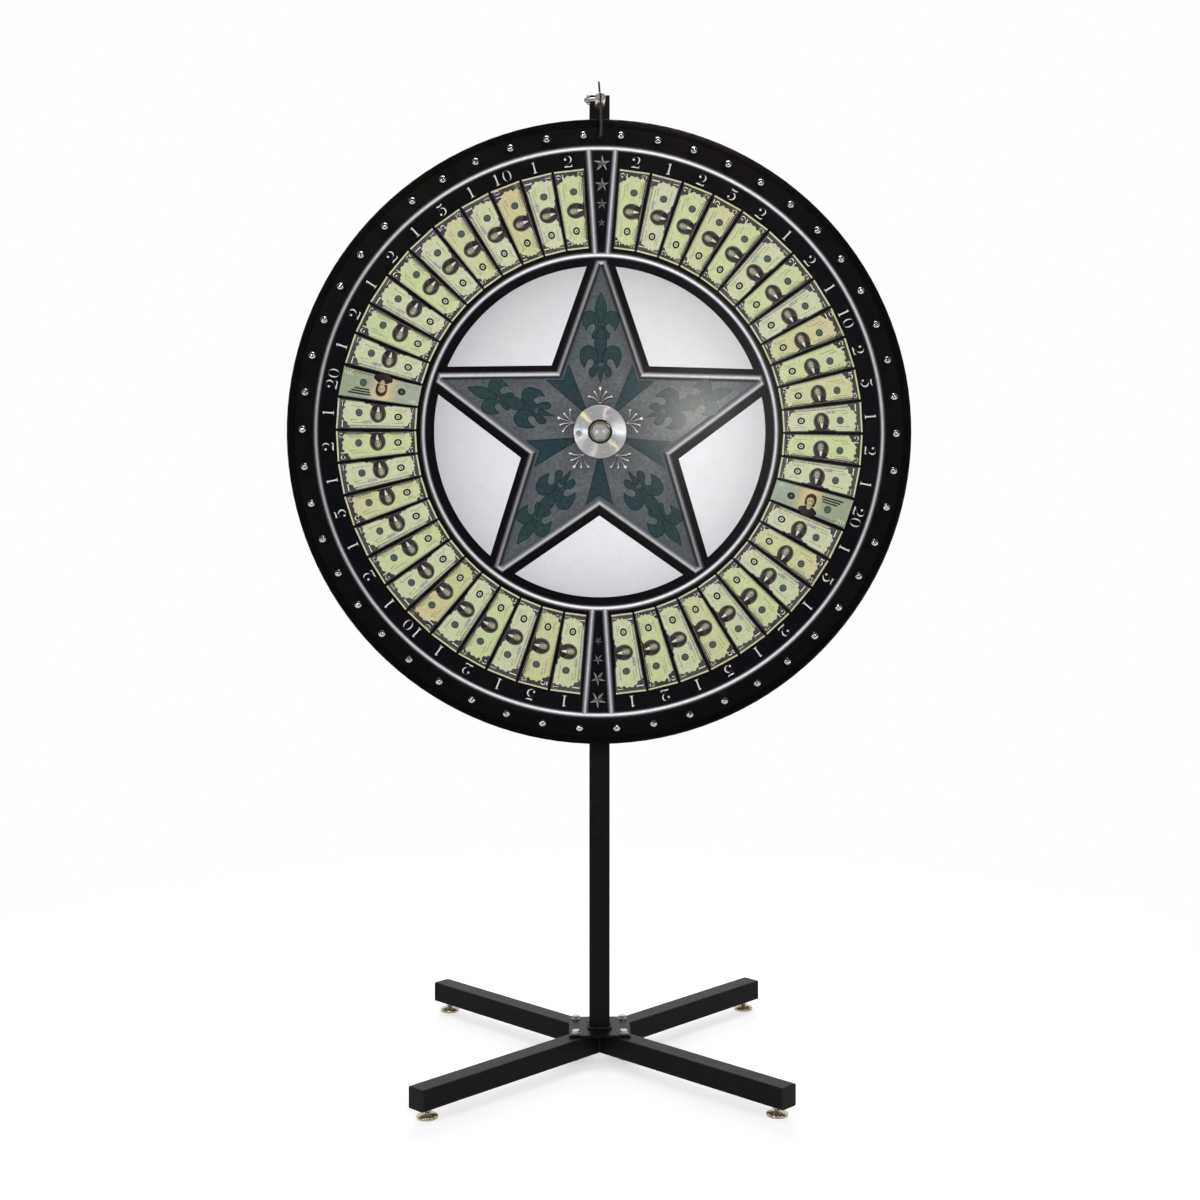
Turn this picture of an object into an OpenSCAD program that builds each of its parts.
// Prize wheel on a four-legged steel stand. Millimetres, +Z up, the front faces -Y.
// The origin lies on the floor, under the axis of the post.

/* [Wheel] */
// Outer diameter of the wheel, over its edging
wheel_d = 1220; // [1000:10:1400]
// Height of the axle above the floor
axle_h = 1245; // [1100:5:1400]
// Angle at which the wheel stands, clockwise as seen from the front
wheel_turn = 0.4; // [-3:0.1:3]
// Thickness of the board
board_t = 20; // [14:1:28]
// Gap between the back of the board and the post
board_gap = 22; // [18:1:40]
// Thickness of the edging's wall
edging_wall = 1.8; // [1.5:0.1:3]
// Width of the edging's lip on each face
edging_lip = 15; // [8:1:25]
// Radius of the edging's outer corners
edging_round = 3.5; // [2:0.5:4]
// Thickness of the printed dial sheet
dial_t = 1; // [0.5:0.1:3]
// Gap between the dial sheet's edge and the pegs
dial_gap = 3.65; // [1:0.05:15]

/* [Pegs] */
// Number of pegs, one on each line between two segments
peg_count = 50; // [20:1:56]
// Diameter of a peg
peg_d = 12.7; // [9:0.1:16]
// Length of a peg in front of the board
peg_l = 25; // [18:1:40]
// Height of the peg's domed end
peg_dome = 3; // [1.5:0.25:4]
// Gap between the pegs and the edging's lip
peg_lip_gap = 12.65; // [5:0.05:30]
// Diameter of the screw that holds a peg from behind
peg_screw_d = 5; // [4:0.5:6]
// Length of that screw inside the peg
peg_screw_in = 12; // [8:0.5:14]
// Diameter of the peg screw's pan head
peg_screw_head_d = 10; // [9:0.5:14]
// Height of the peg screw's pan head
peg_screw_head_h = 3; // [2:0.25:5]

/* [Hub] */
// Diameter of the hub's front flange and of the clamp ring behind the board
hub_d = 104; // [98:1:130]
// Thickness of the hub's front flange
hub_flange_t = 8; // [7:0.5:12]
// Diameter of the hub's boss, which passes through the board
boss_d = 62; // [58:0.5:66]
// Wall in front of each circlip groove
hub_lip = 3.5; // [2:0.25:6]
// Thickness of the clamp ring behind the board
clamp_ring_t = 6; // [4:0.5:10]
// Radius at which the hub screws stand
hub_screw_r = 41.5; // [40:0.5:43]
// Number of hub screws
hub_screw_count = 3; // [3:1:6]
// Diameter of a hub screw
hub_screw_d = 6; // [5:0.5:6]
// Diameter of a hub screw's countersunk head
hub_screw_head_d = 12.5; // [11:0.5:13]
// Angle of the first hub screw, clockwise from the top
hub_screw_turn = 24; // [0:1:119]

/* [Bearings] */
// Bore of the two ball bearings, and diameter of the axle
bearing_id = 20; // [17:0.5:22]
// Outer diameter of the ball bearings
bearing_od = 47; // [44:0.5:50]
// Width of a ball bearing
bearing_w = 14; // [12:0.5:16]
// Diameter of a ball
ball_d = 7.938; // [6.5:0.001:8.2]
// Number of balls in a bearing
ball_count = 8; // [6:1:9]
// Distance between the two bearings
bearing_gap = 3; // [2:0.5:10]
// Thickness of the circlips that hold the bearings in the hub
circlip_t = 1.75; // [1.2:0.05:2.5]

/* [Axle] */
// Outer diameter of the washer in front of the front bearing
front_washer_d = 40; // [36:0.5:41]
// Thickness of the axle's washers
axle_washer_t = 3; // [2:0.5:4]
// Size across the flats of the axle's nuts
axle_nut_af = 30; // [28:1:32]
// Height of the axle's front nut
front_nut_h = 10; // [8:0.5:14]
// Length of the axle's thread in front of its front nut
axle_nose = 2.3; // [1:0.1:5]
// Outer diameter of the collar between the rear bearing and the post
collar_d = 28; // [26:0.5:28]
// Wall of the sleeve that holds the axle inside the post
sleeve_wall = 3; // [2:0.25:4]
// Outer diameter of the washer behind the post
rear_washer_d = 37; // [35:1:40]
// Height of the axle's rear nut
rear_nut_h = 16; // [10:1:20]

/* [Post] */
// Width of the post's square tube
post_w = 40; // [38:1:50]
// Wall of the post's tube
post_wall = 2.5; // [1.5:0.1:3]
// Height of the post's top above the axis of the flapper's rod
post_over_rod = 21; // [19:1:60]
// Thickness of the head of the post's cap and of the legs' caps
cap_t = 3; // [2:0.5:5]
// Depth of the plug of the post's cap
post_plug = 10; // [6:0.5:10]
// Width of the base plate
plate_w = 120; // [112:1:160]
// Thickness of the base plate
plate_t = 5; // [4:0.5:12]
// Leg of the weld round the foot of the post
weld_leg = 5; // [3:0.5:7]

/* [Legs] */
// Length of the crossed legs from tip to tip
leg_span = 950; // [700:10:1200]
// Width of the legs' square tube
leg_w = 40; // [34:1:50]
// Wall of the legs' tube
leg_wall = 2; // [1.5:0.1:4]
// Outer corner radius of the square tubes
tube_round = 3; // [2:0.25:5]
// Depth of the plugs of the legs' caps
leg_plug = 12; // [6:1:14]
// Height of the legs' underside above the floor
leg_lift = 21; // [19:1:35]
// Distance of the plate's bolts from the plate's edges
plate_bolt_edge = 13.5; // [11:0.5:16]
// Diameter of the plate's bolts
plate_bolt_d = 8; // [6:0.5:10]
// Size across the flats of the plate's bolts and nuts
plate_bolt_af = 13; // [12:0.5:17]
// Outer diameter of the washers under the plate's bolts
plate_washer_d = 17; // [16:0.5:20]

/* [Feet] */
// Diameter of a levelling foot's pad
pad_d = 40; // [30:1:50]
// Height of the pad
pad_h = 9.5; // [8.5:0.25:11]
// Diameter of the foot's threaded stem
stem_d = 10; // [8:0.5:12]
// Length of the stem above the leg's underside
stem_in = 28; // [24:1:32]
// Distance of the foot's axis from the leg's tip
foot_inset = 27; // [27:1:60]
// Outer diameter of the threaded bush inside the leg
bush_d = 16; // [15:0.5:18]
// Height of the threaded bush inside the leg
bush_h = 12; // [8:1:14]
// Size across the flats of the foot's lock nut
lock_nut_af = 16; // [15:0.5:19]
// Height of the foot's lock nut
lock_nut_h = 6; // [4:0.5:6]

/* [Flapper] */
// Diameter of the rod that carries the flapper
rod_d = 20; // [17:0.5:24]
// Gap between the wheel's rim and the rod
rod_rim_gap = 24; // [8:1:40]
// Turn of the rod's slot, so that the top of the strip leans to the left
rod_turn = 4; // [0:0.5:8]
// Length of the rod in front of the strip
rod_nose = 4; // [2.5:0.5:12]
// Chamfer round the rod's front end
rod_chamfer = 1.2; // [0.5:0.1:2]
// Thickness of the flexible strip
strip_t = 3; // [2:0.1:4]
// Width of the strip from front to back
strip_w = 30; // [22:1:40]
// Gap between the back edge of the strip and the board's face
strip_face_gap = 10; // [4:0.5:20]
// Reach of the strip's tip inwards past the circle of the pegs
strip_reach = 6; // [5:0.5:12]
// Height of the strip above the rod
strip_over = 22; // [5:1:40]
// Twist of the strip's free end
strip_twist = 12; // [0:1:20]
// Diameter of the screw that clamps the strip
clamp_screw_d = 8; // [6:0.5:9]
// Bare length of the clamp screw between the knob and the rod
knob_stand = 10.5; // [6:0.5:20]
// Size of the knob across its corners
knob_d = 21.6; // [16:0.2:26]
// Length of the knob
knob_l = 11; // [8:0.5:16]
// Diameter of the bolt that holds the rod from behind the post
rod_bolt_d = 10; // [8:0.5:10]
// Size across the flats of that bolt's head
rod_bolt_af = 17; // [16:0.5:19]
// Length of that bolt inside the rod
rod_bolt_in = 20; // [12:1:24]

/* [Hidden] */
$fn = 64;
STEM_FINE = 48;
RUN_CLEAR = 0.06;
HOLE_CLEAR = 0.2;
SEAT_CLEAR = 0.05;
CUT = 1;

// Radii and places in the wheel's own frame, where z is the distance in front of the post's axis
wheel_r = wheel_d / 2;
post_face = post_w / 2;
board_back = post_face + board_gap;
board_front = board_back + board_t;
board_r = wheel_r - edging_wall - SEAT_CLEAR;
peg_r = peg_d / 2;
peg_circle_r = wheel_r - edging_lip - peg_lip_gap - peg_r;
dial_r = peg_circle_r - peg_r - dial_gap;
dial_front = board_front + dial_t;
peg_step = 360 / peg_count;
peg_dome_r = (peg_r * peg_r + peg_dome * peg_dome) / (2 * peg_dome);
peg_hole_in = peg_screw_in + CUT;

boss_r = boss_d / 2;
hub_front = dial_front + hub_flange_t;
hub_edge = 1.2;
circlip_over = 1.2;
circlip_in = 3.9;
front_bearing_z = hub_front - hub_lip - circlip_t - SEAT_CLEAR - bearing_w / 2;
rear_bearing_z = front_bearing_z - bearing_w - bearing_gap;
hub_back = rear_bearing_z - bearing_w / 2 - SEAT_CLEAR - circlip_t - hub_lip;
hub_screw_head_h = (hub_screw_head_d - hub_screw_d) / 2;
hub_nut_af = 1.7 * hub_screw_d;
hub_nut_h = 0.85 * hub_screw_d;
hub_screw_past = 2.5;
clamp_ring_back = board_back - clamp_ring_t;

axle_r = bearing_id / 2;
outer_r = bearing_od / 2;
pitch_r = (axle_r + outer_r) / 2;
ball_r = ball_d / 2;
race_r = ball_r + 0.08;
inner_shoulder_r = pitch_r - 0.32 * ball_d;
outer_shoulder_r = pitch_r + 0.32 * ball_d;
cage_half_wall = 0.14 * ball_d;
cage_half_w = ball_r + 0.55;
shield_t = 0.4;
shield_sunk = 0.7;
shield_clear = 0.35;
ring_chamfer = 0.6;

front_shim_z = front_bearing_z + bearing_w / 2;
front_shim_t = circlip_t + 0.6;
shim_r = inner_shoulder_r - 0.5;
front_washer_z = front_shim_z + front_shim_t;
front_nut_z = front_washer_z + axle_washer_t;
axle_front = front_nut_z + front_nut_h + axle_nose;
collar_front = rear_bearing_z - bearing_w / 2;
rear_nut_z = -post_face - axle_washer_t;
axle_back = rear_nut_z - rear_nut_h - 3;
thread_chamfer = 1;

// Heights of the stand
leg_top = leg_lift + leg_w;
plate_top = leg_top + plate_t;
rod_r = rod_d / 2;
rod_z = axle_h + wheel_r + rod_rim_gap + rod_r;
post_top = rod_z + post_over_rod;
leg_end = leg_span / 2;
leg_turn = 45;
leg_inner = leg_w - 2 * leg_wall;
post_inner = post_w - 2 * post_wall;
plate_bolt_at = plate_w / 2 - plate_bolt_edge;
plate_washer_t = 1.6;
plate_head_h = 0.66 * plate_bolt_d;
plate_nut_h = 0.8 * plate_bolt_d;
plate_bolt_past = 2;
plug_wall = 1.5;
plug_clear = 0.15;

// Places of the flapper, in the rod's frame, where z is the distance in front of the post's axis
strip_back = board_front + strip_face_gap;
strip_front = strip_back + strip_w;
strip_mid = (strip_back + strip_front) / 2;
rod_front = strip_front + rod_nose;
slot_w = strip_t + 2 * HOLE_CLEAR;
slot_back = strip_back - 1.5;
strip_down = rod_z - (axle_h + peg_circle_r - strip_reach);
strip_free = strip_down - rod_r - 2;
strip_up = rod_r + strip_over;
rod_washer_t = 2;
rod_bolt_head_h = 0.64 * rod_bolt_d;
clamp_screw_end = rod_r - 1.5;

FEET = [["foot_front_left", -1, -1], ["foot_front_right", 1, -1],
        ["foot_back_left", -1, 1], ["foot_back_right", 1, 1]];
foot_at = (leg_end - foot_inset) * cos(leg_turn);

// Puts a shape drawn round the Z axis on the wheel's axle, its +Z towards the front
module on_axle() {
    translate([0, 0, axle_h]) rotate([90, 0, 0]) children();
}

// Puts a shape on the axle and turns it with the wheel
module on_wheel() {
    on_axle() rotate([0, 0, -wheel_turn]) children();
}

// Puts a shape on the rod's axis, its +Z towards the front and its +Y along the strip
module on_rod() {
    translate([0, 0, rod_z]) rotate([90, 0, 0]) rotate([0, 0, rod_turn]) children();
}

// Repeats a shape round a circle, clockwise from the angle first
module round_circle(count, radius, first) {
    for (i = [0 : count - 1])
        rotate([0, 0, 90 - first - i * 360 / count]) translate([radius, 0, 0]) children();
}

// Repeats a shape at the four corners of a square
module at_corners(reach) {
    for (sx = [-1, 1], sy = [-1, 1]) translate([sx * reach, sy * reach, 0]) children();
}

// Lays a shape drawn along +X on each of the four legs
module on_legs() {
    for (i = [0 : 3]) rotate([0, 0, leg_turn + 90 * i]) children();
}

// Square with exact round corners
module round_square(width, radius) {
    square([width, width - 2 * radius], center = true);
    square([width - 2 * radius, width], center = true);
    for (sx = [-1, 1], sy = [-1, 1])
        translate([sx, sy] * (width / 2 - radius)) circle(r = radius, $fn = 32);
}

// Square tube along +Z
module square_tube(width, wall, length) {
    linear_extrude(length) difference() {
        round_square(width, tube_round);
        round_square(width - 2 * wall, max(tube_round - wall, 0.5));
    }
}

// Flat ring with both faces' edges chamfered
module ring(r_in, r_out, height, chamfer) {
    rotate_extrude() polygon([
        [r_in + chamfer, 0], [r_out - chamfer, 0], [r_out, chamfer],
        [r_out, height - chamfer], [r_out - chamfer, height], [r_in + chamfer, height],
        [r_in, height - chamfer], [r_in, chamfer]
    ]);
}

// Solid round bar with a chamfer at its upper end
module bar(radius, height, chamfer) {
    cylinder(r = radius, h = height - chamfer);
    translate([0, 0, height - chamfer])
        cylinder(r1 = radius, r2 = radius - chamfer, h = chamfer);
}

// Hexagonal block with its upper corners rounded off as on a turned nut
module hex_block(across_flats, height) {
    corner = across_flats / sqrt(3);
    fall = (corner - across_flats / 2) * 0.6;
    intersection() {
        cylinder(r = corner, h = height, $fn = 6);
        union() {
            cylinder(r = corner + CUT, h = height - fall);
            translate([0, 0, height - fall])
                cylinder(r1 = corner, r2 = corner - fall * 1.8, h = fall);
        }
    }
}

// Nut with its rounded face upwards
module hex_nut(across_flats, height, bore_r) {
    difference() {
        hex_block(across_flats, height);
        translate([0, 0, -CUT]) cylinder(r = bore_r, h = height + 2 * CUT);
    }
}

module long_leg() {
    color("#17181a") translate([0, 0, leg_lift + leg_w / 2]) rotate([0, 0, leg_turn])
        difference() {
            translate([-leg_end + cap_t, 0, 0]) rotate([0, 90, 0])
                square_tube(leg_w, leg_wall, 2 * (leg_end - cap_t));
            for (side = [-1, 1]) leg_holes(side);
        }
}

// Holes of one leg, drawn with the leg along X
module leg_holes(side) {
    bolt_x = side * plate_bolt_at * sqrt(2);
    foot_x = side * (leg_end - foot_inset);
    translate([bolt_x, 0, -leg_w]) cylinder(d = plate_bolt_d + 2 * HOLE_CLEAR, h = 2 * leg_w);
    translate([foot_x, 0, -leg_w]) cylinder(d = stem_d + 1, h = leg_w);
}

// Half leg, butted against the side of the long leg
module short_leg(turn) {
    color("#17181a") translate([0, 0, leg_lift + leg_w / 2]) rotate([0, 0, turn])
        difference() {
            translate([leg_w / 2, 0, 0]) rotate([0, 90, 0])
                square_tube(leg_w, leg_wall, leg_end - cap_t - leg_w / 2);
            leg_holes(1);
        }
}

module short_leg_left() {
    short_leg(leg_turn + 90);
}

module short_leg_right() {
    short_leg(leg_turn - 90);
}

// Cap for a square tube: a flush head and a hollow plug below it
module tube_cap(width, wall, plug) {
    plug_w = width - 2 * wall - 2 * plug_clear;
    linear_extrude(cap_t) round_square(width, tube_round);
    translate([0, 0, -plug]) linear_extrude(plug) difference() {
        round_square(plug_w, max(tube_round - wall, 0.5));
        square(plug_w - 2 * plug_wall, center = true);
    }
}

module leg_end_caps() {
    color("#141415") translate([0, 0, leg_lift + leg_w / 2]) on_legs()
        translate([leg_end - cap_t, 0, 0]) rotate([0, 90, 0])
            tube_cap(leg_w, leg_wall, leg_plug);
}

// Upright beads in the four inner corners where the half legs meet the long leg
module leg_welds() {
    bead_r = 2.5;
    reach = leg_w / 2 * sqrt(2);
    color("#1b1b1d") translate([0, 0, leg_lift + tube_round]) difference() {
        for (i = [0 : 3]) rotate([0, 0, 90 * i]) translate([reach, 0, 0])
            cylinder(r = bead_r, h = leg_w - 2 * tube_round, $fn = 32);
        for (i = [0 : 1]) rotate([0, 0, leg_turn + 90 * i])
            cube([leg_span, leg_w, 3 * leg_w], center = true);
    }
}

module base_plate() {
    color("#17181a") translate([0, 0, leg_top]) difference() {
        linear_extrude(plate_t) round_square(plate_w, 1.5);
        at_corners(plate_bolt_at) translate([0, 0, -CUT])
            cylinder(d = plate_bolt_d + 2 * HOLE_CLEAR, h = plate_t + 2 * CUT);
    }
}

module base_bolts() {
    length = plate_top + plate_washer_t - leg_lift + plate_nut_h + plate_bolt_past;
    color("#c9ccd0") at_corners(plate_bolt_at) translate([0, 0, plate_top + plate_washer_t]) {
        hex_block(plate_bolt_af, plate_head_h);
        rotate([180, 0, 0]) bar(plate_bolt_d / 2, length, 0.8);
    }
}

module base_washers() {
    color("#c9ccd0") at_corners(plate_bolt_at) translate([0, 0, plate_top])
        ring(plate_bolt_d / 2 + HOLE_CLEAR, plate_washer_d / 2, plate_washer_t, 0.2);
}

module base_nuts() {
    color("#c9ccd0") at_corners(plate_bolt_at) translate([0, 0, leg_lift])
        rotate([180, 0, 0]) hex_nut(plate_bolt_af, plate_nut_h, plate_bolt_d / 2);
}

module post_tube() {
    color("#17181a") difference() {
        translate([0, 0, plate_top])
            square_tube(post_w, post_wall, post_top - cap_t - plate_top);
        on_axle() cylinder(r = axle_r + SEAT_CLEAR, h = 2 * post_w, center = true);
        on_rod() cylinder(d = rod_bolt_d + 2 * HOLE_CLEAR, h = 2 * post_w, center = true);
    }
}

module post_weld() {
    color("#1b1b1d") translate([0, 0, plate_top]) difference() {
        rotate([0, 0, 45]) cylinder(r1 = (post_w / 2 + weld_leg) * sqrt(2),
            r2 = (post_w / 2 + 0.2) * sqrt(2), h = weld_leg, $fn = 4);
        translate([0, 0, -CUT]) linear_extrude(weld_leg + 2 * CUT)
            square(post_w, center = true);
    }
}

module post_cap() {
    color("#141415") translate([0, 0, post_top - cap_t])
        tube_cap(post_w, post_wall, post_plug);
}

// Repeats a shape over the four feet
module over_feet() {
    for (foot = FEET) translate([foot[1] * foot_at, foot[2] * foot_at, 0]) children();
}

module foot_bushes() {
    color("#b9a25a") over_feet() translate([0, 0, leg_lift + leg_wall])
        ring(stem_d / 2 + RUN_CLEAR, bush_d / 2, bush_h, 0.4);
}

module foot_lock_nuts() {
    color("#c9ccd0") over_feet() translate([0, 0, leg_lift]) rotate([180, 0, 0])
        hex_nut(lock_nut_af, lock_nut_h, stem_d / 2 + RUN_CLEAR);
}

// Levelling foot: a round-edged pad with a sloping top and a threaded stem
module levelling_foot(foot) {
    edge = pad_h * 0.42;
    pad_r = pad_d / 2;
    neck_r = stem_d / 2 + 2.2;
    color("#d8d2c0") translate([foot[1] * foot_at, foot[2] * foot_at, 0]) {
        rotate_extrude() {
            translate([pad_r - edge, edge]) circle(r = edge, $fn = STEM_FINE);
            square([pad_r - edge, 2 * edge]);
            polygon([[0, 2 * edge], [pad_r - edge, 2 * edge], [neck_r, pad_h], [0, pad_h]]);
        }
        translate([0, 0, pad_h - CUT])
            bar(stem_d / 2, leg_lift + stem_in - pad_h + CUT, thread_chamfer);
    }
}

module foot_front_left() {
    levelling_foot(FEET[0]);
}

module foot_front_right() {
    levelling_foot(FEET[1]);
}

module foot_back_left() {
    levelling_foot(FEET[2]);
}

module foot_back_right() {
    levelling_foot(FEET[3]);
}

module axle() {
    color("#b4b7bb") on_axle() {
        bar(axle_r, axle_front, thread_chamfer);
        rotate([180, 0, 0]) bar(axle_r, -axle_back, thread_chamfer);
    }
}

module axle_sleeve() {
    color("#8f9195") on_axle() translate([0, 0, -post_inner / 2])
        ring(axle_r + SEAT_CLEAR, axle_r + sleeve_wall, post_inner, 0.4);
}

module axle_collar() {
    color("#b4b7bb") on_axle() translate([0, 0, post_face])
        ring(axle_r + SEAT_CLEAR, collar_d / 2, collar_front - post_face, 0.5);
}

module axle_shim() {
    color("#b4b7bb") on_axle() translate([0, 0, front_shim_z])
        ring(axle_r + SEAT_CLEAR, shim_r, front_shim_t, 0.2);
}

module axle_front_washer() {
    color("#c5ad62") on_axle() translate([0, 0, front_washer_z])
        ring(axle_r + HOLE_CLEAR, front_washer_d / 2, axle_washer_t, 0.4);
}

module axle_front_nut() {
    color("#c9ccd0") on_axle() translate([0, 0, front_nut_z])
        hex_nut(axle_nut_af, front_nut_h, axle_r);
}

module axle_rear_washer() {
    color("#c9ccd0") on_axle() translate([0, 0, rear_nut_z])
        ring(axle_r + HOLE_CLEAR, rear_washer_d / 2, axle_washer_t, 0.4);
}

module axle_rear_nut() {
    color("#c9ccd0") on_axle() translate([0, 0, rear_nut_z]) rotate([180, 0, 0])
        hex_nut(axle_nut_af, rear_nut_h, axle_r);
}

module bearing_spacer() {
    color("#b4b7bb") on_axle() translate([0, 0, rear_bearing_z + bearing_w / 2])
        ring(axle_r, inner_shoulder_r, bearing_gap, 0.3);
}

// Places a shape drawn round the middle of a bearing
module at_bearing(bearing_z) {
    on_axle() translate([0, 0, bearing_z]) children();
}

// Groove in which the balls run
module raceway() {
    rotate_extrude() translate([pitch_r, 0]) circle(r = race_r, $fn = STEM_FINE);
}

module bearing_inner() {
    color("#c4c7cb") difference() {
        translate([0, 0, -bearing_w / 2])
            ring(axle_r, inner_shoulder_r, bearing_w, ring_chamfer);
        raceway();
    }
}

module bearing_outer() {
    color("#c4c7cb") difference() {
        translate([0, 0, -bearing_w / 2])
            ring(outer_shoulder_r, outer_r, bearing_w, ring_chamfer);
        raceway();
    }
}

module bearing_balls() {
    color("#dfe2e6") round_circle(ball_count, pitch_r, 0) sphere(r = ball_r);
}

module bearing_cage() {
    color("#a88f4e") difference() {
        translate([0, 0, -cage_half_w])
            ring(pitch_r - cage_half_wall, pitch_r + cage_half_wall, 2 * cage_half_w, 0.2);
        round_circle(ball_count, 0, 0) rotate([0, 90, 0])
            cylinder(r = ball_r + 0.12, h = outer_r);
    }
}

module bearing_shields() {
    color("#b8b08c") for (side = [-1, 1]) {
        low = side * (bearing_w / 2 - shield_sunk - shield_t / 2) - shield_t / 2;
        translate([0, 0, low]) ring(inner_shoulder_r + shield_clear, outer_shoulder_r,
            shield_t, 0.1);
    }
}

module front_bearing_inner() {
    at_bearing(front_bearing_z) bearing_inner();
}

module front_bearing_outer() {
    at_bearing(front_bearing_z) bearing_outer();
}

module front_bearing_balls() {
    at_bearing(front_bearing_z) bearing_balls();
}

module front_bearing_cage() {
    at_bearing(front_bearing_z) bearing_cage();
}

module front_bearing_shields() {
    at_bearing(front_bearing_z) bearing_shields();
}

module rear_bearing_inner() {
    at_bearing(rear_bearing_z) bearing_inner();
}

module rear_bearing_outer() {
    at_bearing(rear_bearing_z) bearing_outer();
}

module rear_bearing_balls() {
    at_bearing(rear_bearing_z) bearing_balls();
}

module rear_bearing_cage() {
    at_bearing(rear_bearing_z) bearing_cage();
}

module rear_bearing_shields() {
    at_bearing(rear_bearing_z) bearing_shields();
}

// Internal circlip: an open ring with a drilled ear on each side of its gap
module circlip(gap_turn) {
    groove_r = outer_r + circlip_over - SEAT_CLEAR;
    inside_r = outer_r - circlip_in;
    ear_r = 2.3;
    ear_at = inside_r - 0.2;
    gap_half = 16;
    color("#1d1d1f") rotate([0, 0, gap_turn]) difference() {
        union() {
            difference() {
                cylinder(r = groove_r, h = circlip_t);
                translate([0, 0, -CUT]) cylinder(r = inside_r, h = circlip_t + 2 * CUT);
                translate([0, 0, -CUT]) linear_extrude(circlip_t + 2 * CUT) polygon([
                    [0, 0], 2 * outer_r * [cos(gap_half), sin(gap_half)],
                    2 * outer_r * [cos(gap_half), -sin(gap_half)]
                ]);
            }
            for (side = [-1, 1]) rotate([0, 0, side * (gap_half + 6)])
                translate([ear_at, 0, 0]) cylinder(r = ear_r, h = circlip_t, $fn = STEM_FINE);
        }
        for (side = [-1, 1]) rotate([0, 0, side * (gap_half + 6)])
            translate([ear_at, 0, -CUT])
                cylinder(r = 0.9, h = circlip_t + 2 * CUT, $fn = 24);
    }
}

module front_circlip() {
    on_wheel() translate([0, 0, front_bearing_z + bearing_w / 2 + SEAT_CLEAR])
        circlip(40);
}

module rear_circlip() {
    on_wheel() translate([0, 0, hub_back + hub_lip]) circlip(-90);
}

// Groove for a circlip, cut round the hub's bore
module circlip_groove(low) {
    translate([0, 0, low]) cylinder(r = outer_r + circlip_over, h = circlip_t + SEAT_CLEAR);
}

module hub() {
    shoulder_r = outer_shoulder_r + 0.6;
    front_seat = front_bearing_z - bearing_w / 2;
    rear_seat = rear_bearing_z + bearing_w / 2;
    color("#c8cacd") on_wheel() difference() {
        rotate_extrude() polygon([
            [0, hub_back], [boss_r - hub_edge, hub_back], [boss_r, hub_back + hub_edge],
            [boss_r, dial_front], [hub_d / 2, dial_front], [hub_d / 2, hub_front - hub_edge],
            [hub_d / 2 - hub_edge, hub_front], [0, hub_front]
        ]);
        translate([0, 0, hub_back - CUT])
            cylinder(r = shoulder_r, h = hub_front - hub_back + 2 * CUT);
        translate([0, 0, front_seat]) cylinder(r = outer_r, h = hub_front - front_seat + CUT);
        translate([0, 0, hub_back - CUT]) cylinder(r = outer_r, h = rear_seat - hub_back + CUT);
        circlip_groove(front_bearing_z + bearing_w / 2);
        circlip_groove(hub_back + hub_lip);
        translate([0, 0, hub_front - 0.8])
            cylinder(r1 = outer_r, r2 = outer_r + 0.8 + CUT, h = 0.8 + CUT);
        round_circle(hub_screw_count, hub_screw_r, hub_screw_turn) hub_screw_hole();
    }
}

// Clearance hole with a countersink for a hub screw
module hub_screw_hole() {
    translate([0, 0, hub_back]) cylinder(d = hub_screw_d + 2 * HOLE_CLEAR, h = 2 * hub_front);
    translate([0, 0, hub_front - hub_screw_head_h])
        cylinder(d1 = hub_screw_d + 2 * HOLE_CLEAR,
            d2 = hub_screw_head_d + 2 * HOLE_CLEAR, h = hub_screw_head_h + SEAT_CLEAR);
}

module hub_clamp_ring() {
    color("#c8cacd") on_wheel() translate([0, 0, clamp_ring_back]) difference() {
        ring(boss_r + HOLE_CLEAR, hub_d / 2, clamp_ring_t, 0.8);
        round_circle(hub_screw_count, hub_screw_r, hub_screw_turn) translate([0, 0, -CUT])
            cylinder(d = hub_screw_d + 2 * HOLE_CLEAR, h = clamp_ring_t + 2 * CUT);
    }
}

module hub_screws() {
    tail = clamp_ring_back - hub_nut_h - hub_screw_past;
    socket_af = 0.6 * hub_screw_d;
    color("#b9bcc0") on_wheel() round_circle(hub_screw_count, hub_screw_r, hub_screw_turn)
        difference() {
            union() {
                translate([0, 0, hub_front - hub_screw_head_h])
                    cylinder(d1 = hub_screw_d, d2 = hub_screw_head_d, h = hub_screw_head_h);
                translate([0, 0, hub_front - hub_screw_head_h]) rotate([180, 0, 0])
                    bar(hub_screw_d / 2, hub_front - hub_screw_head_h - tail, 0.6);
            }
            translate([0, 0, hub_front - 2.2])
                cylinder(r = socket_af / sqrt(3), h = 2.2 + CUT, $fn = 6);
        }
}

module hub_nuts() {
    color("#c9ccd0") on_wheel() round_circle(hub_screw_count, hub_screw_r, hub_screw_turn)
        translate([0, 0, clamp_ring_back]) rotate([180, 0, 0])
            hex_nut(hub_nut_af, hub_nut_h, hub_screw_d / 2);
}

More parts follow.
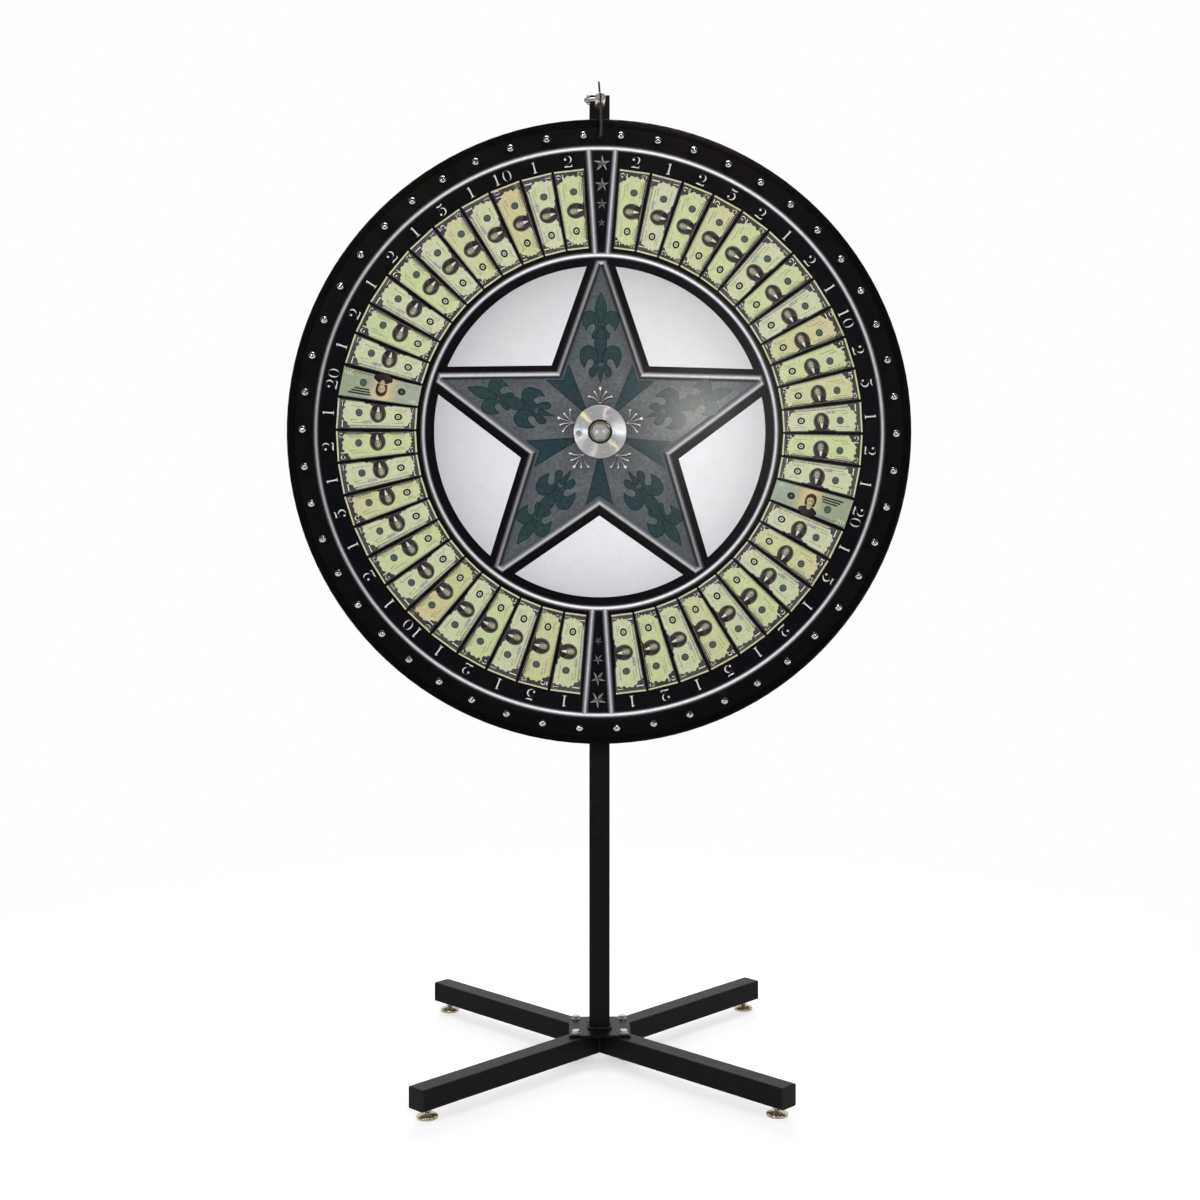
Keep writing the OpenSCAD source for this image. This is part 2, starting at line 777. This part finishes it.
module wheel_board() {
    color("#101012") on_wheel() translate([0, 0, board_back]) difference() {
        cylinder(r = board_r, h = board_t, $fn = 256);
        translate([0, 0, -CUT]) cylinder(r = boss_r + HOLE_CLEAR, h = board_t + 2 * CUT);
        translate([0, 0, -CUT]) {
            round_circle(hub_screw_count, hub_screw_r, hub_screw_turn)
                cylinder(d = hub_screw_d + 2 * HOLE_CLEAR, h = board_t + 2 * CUT);
            round_circle(peg_count, peg_circle_r, peg_step / 2)
                cylinder(d = peg_screw_d + 2 * HOLE_CLEAR, h = board_t + 2 * CUT, $fn = 24);
        }
    }
}

// Edging: a channel with round outer corners, wrapped round the board's rim
module rim_edging() {
    inner_half = board_t / 2 + SEAT_CLEAR;
    half_t = inner_half + edging_wall;
    lip_r = wheel_r - edging_lip;
    color("#0c0c0d") on_wheel() translate([0, 0, board_back + board_t / 2])
        rotate_extrude($fn = 256) difference() {
            union() {
                translate([lip_r, -half_t]) square([edging_lip - edging_round, 2 * half_t]);
                translate([lip_r, -half_t + edging_round])
                    square([edging_lip, 2 * (half_t - edging_round)]);
                for (side = [-1, 1])
                    translate([wheel_r - edging_round, side * (half_t - edging_round)])
                        circle(r = edging_round, $fn = STEM_FINE);
            }
            translate([lip_r - CUT, -inner_half])
                square([edging_lip - edging_wall + CUT, 2 * inner_half]);
        }
}

module dial_sheet() {
    color("#8a9a6a") on_wheel() translate([0, 0, board_front]) difference() {
        cylinder(r = dial_r, h = dial_t, $fn = 256);
        translate([0, 0, -CUT]) cylinder(r = boss_r + HOLE_CLEAR, h = dial_t + 2 * CUT);
        round_circle(hub_screw_count, hub_screw_r, hub_screw_turn) translate([0, 0, -CUT])
            cylinder(d = hub_screw_d + 2 * HOLE_CLEAR, h = dial_t + 2 * CUT);
    }
}

// Peg: a round bar with a domed end and a blind hole for its screw
module peg() {
    difference() {
        union() {
            cylinder(r = peg_r, h = peg_l - peg_dome, $fn = 32);
            intersection() {
                translate([0, 0, peg_l - peg_dome]) cylinder(r = peg_r, h = peg_dome, $fn = 32);
                translate([0, 0, peg_l - peg_dome_r]) sphere(r = peg_dome_r, $fn = 32);
            }
        }
        translate([0, 0, -CUT])
            cylinder(d = peg_screw_d + 2 * SEAT_CLEAR, h = peg_hole_in + CUT, $fn = 24);
    }
}

module pegs() {
    color("#d9dce0") on_wheel() round_circle(peg_count, peg_circle_r, peg_step / 2)
        translate([0, 0, board_front]) peg();
}

module peg_screws() {
    color("#c9ccd0") on_wheel() round_circle(peg_count, peg_circle_r, peg_step / 2)
        translate([0, 0, board_back]) {
            translate([0, 0, -peg_screw_head_h])
                cylinder(d1 = peg_screw_head_d * 0.8, d2 = peg_screw_head_d,
                    h = peg_screw_head_h, $fn = 24);
            cylinder(d = peg_screw_d, h = board_t + peg_screw_in, $fn = 24);
        }
}

// Rod with a slot for the strip in its front end and a cross hole for the clamp screw
module flapper_rod() {
    color("#d5d8dc") on_rod() difference() {
        translate([0, 0, post_face]) bar(rod_r, rod_front - post_face, rod_chamfer);
        translate([-slot_w / 2, -rod_d, slot_back])
            cube([slot_w, 2 * rod_d, rod_front - slot_back + CUT]);
        translate([-rod_d, 0, strip_mid]) rotate([0, 90, 0])
            cylinder(d = clamp_screw_d + 2 * SEAT_CLEAR, h = 2 * rod_d);
        translate([0, 0, post_face - CUT])
            cylinder(d = rod_bolt_d + 2 * SEAT_CLEAR, h = rod_bolt_in + 2 * CUT);
    }
}

module rod_bolt() {
    color("#c9ccd0") on_rod() translate([0, 0, -post_face - rod_washer_t]) {
        rotate([180, 0, 0]) hex_block(rod_bolt_af, rod_bolt_head_h);
        bar(rod_bolt_d / 2, post_w + rod_washer_t + rod_bolt_in, thread_chamfer);
    }
}

module rod_washer() {
    color("#c9ccd0") on_rod() translate([0, 0, -post_face - rod_washer_t])
        ring(rod_bolt_d / 2 + HOLE_CLEAR, rod_bolt_af / 2 + 2, rod_washer_t, 0.3);
}

// Clamp screw with a six-sided knob that tapers both ways, on the left of the rod
module clamp_screw() {
    knob_r = knob_d / 2;
    belly = knob_l * 0.3;
    color("#cfd2d6") on_rod() translate([0, 0, strip_mid]) rotate([0, -90, 0]) {
        translate([0, 0, rod_r + knob_stand]) intersection() {
            cylinder(r = knob_r, h = knob_l, $fn = 6);
            union() {
                cylinder(r1 = knob_r - belly, r2 = knob_r, h = belly);
                translate([0, 0, belly])
                    cylinder(r1 = knob_r, r2 = knob_r * 0.28, h = knob_l - belly);
            }
        }
        translate([0, 0, -clamp_screw_end])
            cylinder(d = clamp_screw_d, h = clamp_screw_end + rod_r + knob_stand + CUT);
    }
}

// Flexible strip, clamped in the rod's slot, with its free end slightly twisted
module flapper_strip() {
    held = strip_down - strip_free;
    color("#2b2724") on_rod() translate([0, 0, strip_mid]) rotate([90, 0, 0]) {
        difference() {
            translate([-strip_t / 2, -strip_w / 2, -strip_up])
                cube([strip_t, strip_w, strip_up + held]);
            rotate([0, 90, 0])
                cylinder(d = clamp_screw_d + 2 * HOLE_CLEAR, h = 2 * rod_d, center = true);
        }
        translate([0, 0, held])
            linear_extrude(strip_free, twist = strip_twist, slices = 8, $fn = 4)
                square([strip_t, strip_w], center = true);
    }
}

long_leg();
short_leg_left();
short_leg_right();
leg_end_caps();
leg_welds();
base_plate();
base_bolts();
base_washers();
base_nuts();
post_tube();
post_weld();
post_cap();
foot_bushes();
foot_lock_nuts();
foot_front_left();
foot_front_right();
foot_back_left();
foot_back_right();
axle();
axle_sleeve();
axle_collar();
axle_shim();
axle_front_washer();
axle_front_nut();
axle_rear_washer();
axle_rear_nut();
bearing_spacer();
front_bearing_inner();
front_bearing_outer();
front_bearing_balls();
front_bearing_cage();
front_bearing_shields();
rear_bearing_inner();
rear_bearing_outer();
rear_bearing_balls();
rear_bearing_cage();
rear_bearing_shields();
front_circlip();
rear_circlip();
hub();
hub_clamp_ring();
hub_screws();
hub_nuts();
wheel_board();
rim_edging();
dial_sheet();
pegs();
peg_screws();
flapper_rod();
rod_bolt();
rod_washer();
clamp_screw();
flapper_strip();
